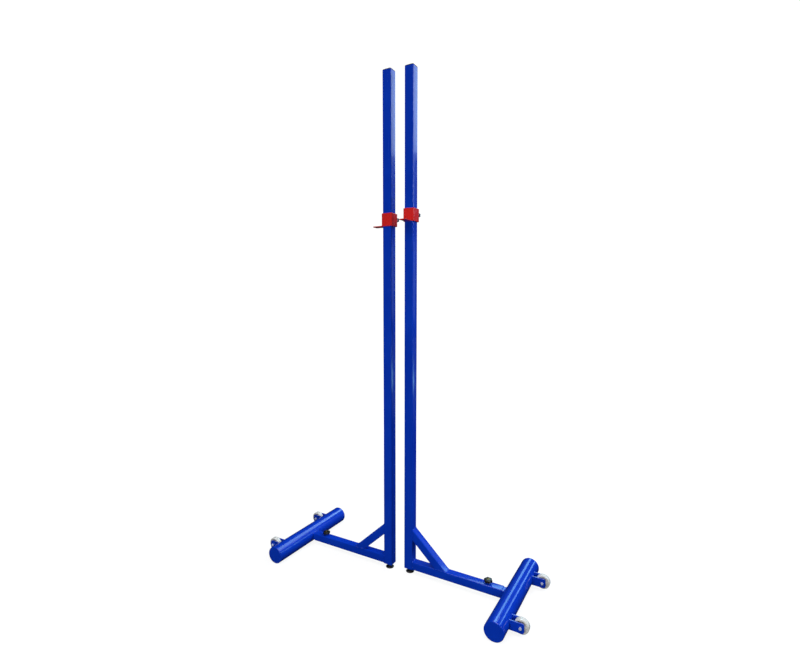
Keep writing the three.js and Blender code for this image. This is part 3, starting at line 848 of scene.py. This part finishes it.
def cast_nylon():
    """White nylon: slightly see-through at the skin, satin, with dust ground into it."""
    material, tree, place = new_material("cast_nylon_white")
    dirt = add_node(
        tree,
        "ShaderNodeTexNoise",
        {"Vector": place, "Scale": 1000 / DIRT_MM, "Detail": 7.0, "Roughness": 0.65},
    )
    colour = add_node(tree, "ShaderNodeValToRGB", {"Fac": dirt.outputs["Fac"]})
    colour.color_ramp.elements[0].position = 0.42
    colour.color_ramp.elements[0].color = linear("e0e0dc")
    colour.color_ramp.elements[1].position = 0.78
    colour.color_ramp.elements[1].color = linear("bdb9b0")
    satin = add_node(
        tree,
        "ShaderNodeMapRange",
        {"Value": dirt.outputs["Fac"], "From Min": 0.3, "From Max": 0.8,
         "To Min": 0.36, "To Max": 0.62},
    )
    fine = add_node(
        tree, "ShaderNodeTexNoise", {"Vector": place, "Scale": 1000 / SKIN_MM, "Detail": 2.0}
    )
    bump = add_node(
        tree,
        "ShaderNodeBump",
        {"Height": fine.outputs["Fac"], "Strength": 0.12, "Distance": 0.08 * MM},
    )
    nylon = add_node(
        tree,
        "ShaderNodeBsdfPrincipled",
        {"Base Color": colour.outputs["Color"], "Roughness": satin.outputs["Result"],
         "Normal": bump.outputs["Normal"], "IOR": 1.53, "Subsurface Weight": 0.12,
         "Subsurface Radius": (1.0, 0.95, 0.9), "Subsurface Scale": 2 * MM},
    )
    add_node(tree, "ShaderNodeOutputMaterial", {"Surface": nylon.outputs[0]})
    return material


def wheel_rings():
    """Tread with rounded shoulders and a fine mould line, dished web, and long hub."""
    shoulder, web = 3 * MM, 4.5 * MM
    inside = WHEEL - 8 * MM
    half, hub_half = TREAD / 2, HUB_LONG / 2
    right = [(WHEEL - 0.35 * MM, 0.0), (WHEEL, 0.5 * MM), (WHEEL, half - shoulder)]
    for step in range(1, 5):
        turn = math.pi / 2 * step / 4
        radius = WHEEL - shoulder + shoulder * math.cos(turn)
        right.append((radius, half - shoulder + shoulder * math.sin(turn)))
    right += [
        (inside + 0.8 * MM, half), (inside, half - 0.8 * MM), (inside - 1.2 * MM, web + 2.2 * MM),
        (inside - 3.4 * MM, web), (HUB + 2.6 * MM, web), (HUB + 0.8 * MM, web + 1.8 * MM),
        (HUB, hub_half - 0.8 * MM), (HUB - 0.8 * MM, hub_half), (4.6 * MM, hub_half),
        (4.3 * MM, hub_half - 0.4 * MM),
    ]
    left = [(radius, -height) for radius, height in right[1:]][::-1]
    return turned(left + right, sides=96)


def ear_rings(root, tip):
    """Flat bar on edge, its two outer corners round and its edges broken."""
    half = EAR_TALL / 2

    def outline(inset):
        corner = EAR_CORNER - inset
        points = [(0.0, -half + inset)]
        for quarter, height in ((-1, EAR_CORNER - half), (0, half - EAR_CORNER)):
            for step in range(9):
                turn = math.pi / 2 * (quarter + step / 8)
                x = tip - root - EAR_CORNER + corner * math.cos(turn)
                points.append((x, height + corner * math.sin(turn)))
        points.append((0.0, half - inset))
        points += [(0.0, (half - inset) * (1 - 2 * i / 9)) for i in range(1, 9)]
        return points

    rings = []
    for inset, across in ((EAR_EDGE, -EAR_THICK / 2), (0.0, EAR_EDGE - EAR_THICK / 2),
                          (0.0, EAR_THICK / 2 - EAR_EDGE), (EAR_EDGE, EAR_THICK / 2)):
        ring = []
        for x, z in outline(inset):
            rim = math.sqrt(max((DRUM + COPE_GAP) ** 2 - z**2, 0.0))
            ring.append(Vector((DRUM_X + rim if x == 0.0 else root + x, -across, DRUM + z)))
        rings.append(ring)
    return rings


white_nylon = (cast_nylon(), "nylon")
for side in SIDES:
    to_stand = stand_at[side].inverted()
    body = f"{side}_ballast"
    for number in "12":
        wheel_centre = to_stand @ middle(f"{side}_wheel_{number}")
        at = stand_at[side] @ Matrix.Translation(wheel_centre) @ along_y
        make(f"{side}_roller_{number}", skin(wheel_rings()), at, white_nylon,
             f"{side}_roller_{number}", [f"{side}_wheel_{number}"], crease=30)
        for letter in "ab":
            ear = f"{side}_ear_{number}{letter}"
            lug = f"lug_{number}{letter}"
            corners = [to_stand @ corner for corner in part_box(ear)]
            root, tip = min(c.x for c in corners), max(c.x for c in corners)
            ear_at = stand_at[side] @ Matrix.Translation((0.0, (to_stand @ middle(ear)).y, 0.0))
            make(f"{side}_{lug}", skin(ear_rings(root, tip)), ear_at, blue_paint, body, [ear],
                 crease=25)
            for face, way in ((-1, "in"), (1, "out")):
                seam = []
                for step in range(15):
                    z = (EAR_TALL / 2 - 1 * MM) * (step / 7 - 1)
                    rim = math.sqrt(DRUM**2 - z**2)
                    seam.append(Vector((DRUM_X + rim, face * EAR_THICK / 2, DRUM + z)))
                bead = weld_bead(seam, EAR_WELD, closed=False)
                make(f"{side}_weld_{lug}_{way}", bead, ear_at, blue_paint, body, crease=60)
        outside = HUB_LONG / 2 + SIDE_PLAY + EAR_THICK + 0.3 * MM
        head = hexagonal(BOLT_FLATS, -outside - HEAD_TALL, -outside)
        make(f"{side}_bolt_head_{number}", skin(head), at, zinc, body,
             [f"{side}_axle_bolt_{number}"], crease=20)
        shank = turned([(BOLT_SHANK, -outside), (BOLT_SHANK, outside)], sides=40)
        make(f"{side}_bolt_shank_{number}", skin(shank), at, zinc, body)
        tail = threaded(BOLT, outside, outside + BOLT_END, BOLT_PITCH)
        make(f"{side}_bolt_thread_{number}", skin(tail), at, zinc, body, crease=80)
        nut = hexagonal(BOLT_FLATS, outside, outside + NUT_TALL)
        make(f"{side}_axle_locknut_{number}", skin(nut), at, zinc, body,
             [f"{side}_axle_nut_{number}"], crease=20)


# Bar supports: a short red square sleeve slides on each upright. A flat plate welded at
# its lower edge carries the crossbar, and a screw through a welded boss locks the height.
SLEEVE_CORNER = 5.5 * MM
SLEEVE_WALL = 2.5 * MM
SLEEVE_EDGE = 0.6 * MM
PLATE_CORNER = 4 * MM
PLATE_EDGE = 0.5 * MM
BOSS = 9 * MM
GRIP = 13 * MM
GRIP_LOBES = 5
HAND_SCREW, HAND_SCREW_PITCH = 4 * MM, 1.25 * MM
red_paint = (powder_coat("red_powder_coat", "d52422", "dc2c2a", 0.2), "red_paint")


def sleeve_tube(width, tall):
    """Open square ring with its sawn edges broken, outside and inside."""
    edge = SLEEVE_EDGE
    inner, inner_corner = width - 2 * SLEEVE_WALL, SLEEVE_CORNER - SLEEVE_WALL
    rings = []
    for span, corner, height in (
        (width - 2 * edge, SLEEVE_CORNER - edge, 0.0), (width, SLEEVE_CORNER, edge),
        (width, SLEEVE_CORNER, tall / 2), (width, SLEEVE_CORNER, tall - edge),
        (width - 2 * edge, SLEEVE_CORNER - edge, tall), (inner + edge, inner_corner, tall),
        (inner, inner_corner, tall - edge), (inner, inner_corner, edge),
        (inner + edge, inner_corner, 0.0),
    ):
        rings.append(level(round_square(span, corner), height))
    return skin(rings, loop=True)


def plate_rings(length, width, thick):
    """Flat rest that starts at the sleeve, its free corners round and its edges broken."""

    def outline(inset):
        points = [(0.0, -width / 2 + inset)]
        radius = PLATE_CORNER - inset
        for quarter, sy in ((-1, -1), (0, 1)):
            for step in range(7):
                turn = math.pi / 2 * (quarter + step / 6)
                x = length - PLATE_CORNER + radius * math.cos(turn)
                y = sy * (width / 2 - PLATE_CORNER) + radius * math.sin(turn)
                points.append((x, y))
        points.append((0.0, width / 2 - inset))
        return points

    return [level(outline(PLATE_EDGE), 0.0), level(outline(0.0), PLATE_EDGE),
            level(outline(0.0), thick - PLATE_EDGE), level(outline(PLATE_EDGE), thick)]


for side in SIDES:
    body = f"{side}_bar_support"
    low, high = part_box(f"{side}_sleeve")
    centre = (low + high) / 2
    at = Matrix.Translation((centre.x, centre.y, low.z))
    make(f"{side}_slider", sleeve_tube((high - low).x, (high - low).z), at, red_paint, body,
         [f"{side}_sleeve"])
    away = middle(f"{side}_support_plate") - centre
    away.z = 0.0
    heading = Matrix.Rotation(math.atan2(away.y, away.x), 4, "Z")
    extent = size(f"{side}_support_plate")
    length, width = max(extent.x, extent.y), min(extent.x, extent.y)
    start = away.length - length / 2
    plate_low = heights(f"{side}_support_plate")[0]
    plate_at = Matrix.Translation((centre.x, centre.y, plate_low)) @ heading
    beside = Vector((start, 0.0, 0.0))
    rest = [[point + beside for point in ring] for ring in plate_rings(length, width, extent.z)]
    make(f"{side}_bar_rest", skin(rest), plate_at, red_paint, body,
         [f"{side}_support_plate"], crease=25)
    seam_ends = (width / 2 - 1 * MM, -width / 2 + 1 * MM)
    seam = [Vector((start, y, extent.z + 0.2 * MM)) for y in seam_ends]
    make(f"{side}_weld_rest", weld_bead(seam, 2.0 * MM, closed=False), plate_at, red_paint, body,
         crease=60)

    boss_centre = middle(f"{side}_sleeve_boss")
    out = boss_centre - centre
    out.z = 0.0
    face = out.normalized()
    towards = face.to_track_quat("Z", "Y").to_matrix().to_4x4()
    post_centre = middle(f"{side}_upright")
    axis_at = Matrix.Translation((post_centre.x, post_centre.y, boss_centre.z)) @ towards

    def span(node):
        """Where a node starts and ends along the clamp screw, from the upright's centre."""
        ends = [(corner - post_centre).dot(face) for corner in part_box(node)]
        return min(ends), max(ends)

    near, far = span(f"{side}_sleeve_boss")
    boss = turned([
        (5.2 * MM, near), (BOSS, near), (BOSS, far - 0.8 * MM), (8.2 * MM, far),
        (4.9 * MM, far), (4.4 * MM, far - 0.5 * MM),
    ], sides=64)
    make(f"{side}_boss", skin(boss), axis_at, red_paint, body, [f"{side}_sleeve_boss"])
    seam = level(round_outline(9.2 * MM, 48), near)
    make(f"{side}_weld_boss", weld_bead(seam, 1.8 * MM), axis_at, red_paint, body, crease=60)

    body = f"{side}_sleeve_clamp"
    near, far = span(f"{side}_sleeve_knob")
    tall = far - near
    grip = lobed([
        (GRIP * 0.45, near, 0.0), (GRIP * 0.58, near + 0.4 * MM, 0.0),
        (GRIP * 0.62, near + tall * 0.14, 0.2), (GRIP * 0.8, near + tall * 0.26, 0.8),
        (GRIP * 0.93, near + tall * 0.38, 1.0), (GRIP * 0.99, near + tall * 0.5, 1.0),
        (GRIP, near + tall * 0.62, 1.0), (GRIP * 0.97, near + tall * 0.78, 1.0),
        (GRIP * 0.88, near + tall * 0.88, 0.9), (GRIP * 0.72, near + tall * 0.95, 0.6),
        (GRIP * 0.5, near + tall * 0.99, 0.2), (GRIP * 0.25, near + tall, 0.0),
        (GRIP * 0.05, near + tall, 0.0),
    ], GRIP_LOBES, GRIP * 0.17)
    make(f"{side}_hand_knob", skin(grip), axis_at, phenolic, body,
         [f"{side}_sleeve_knob"], crease=50)
    tip = span(f"{side}_sleeve_screw")[0]
    screw = threaded(HAND_SCREW, tip, near + 1 * MM, HAND_SCREW_PITCH)
    make(f"{side}_hand_screw", skin(screw), axis_at, zinc, body,
         [f"{side}_sleeve_screw"], crease=80)
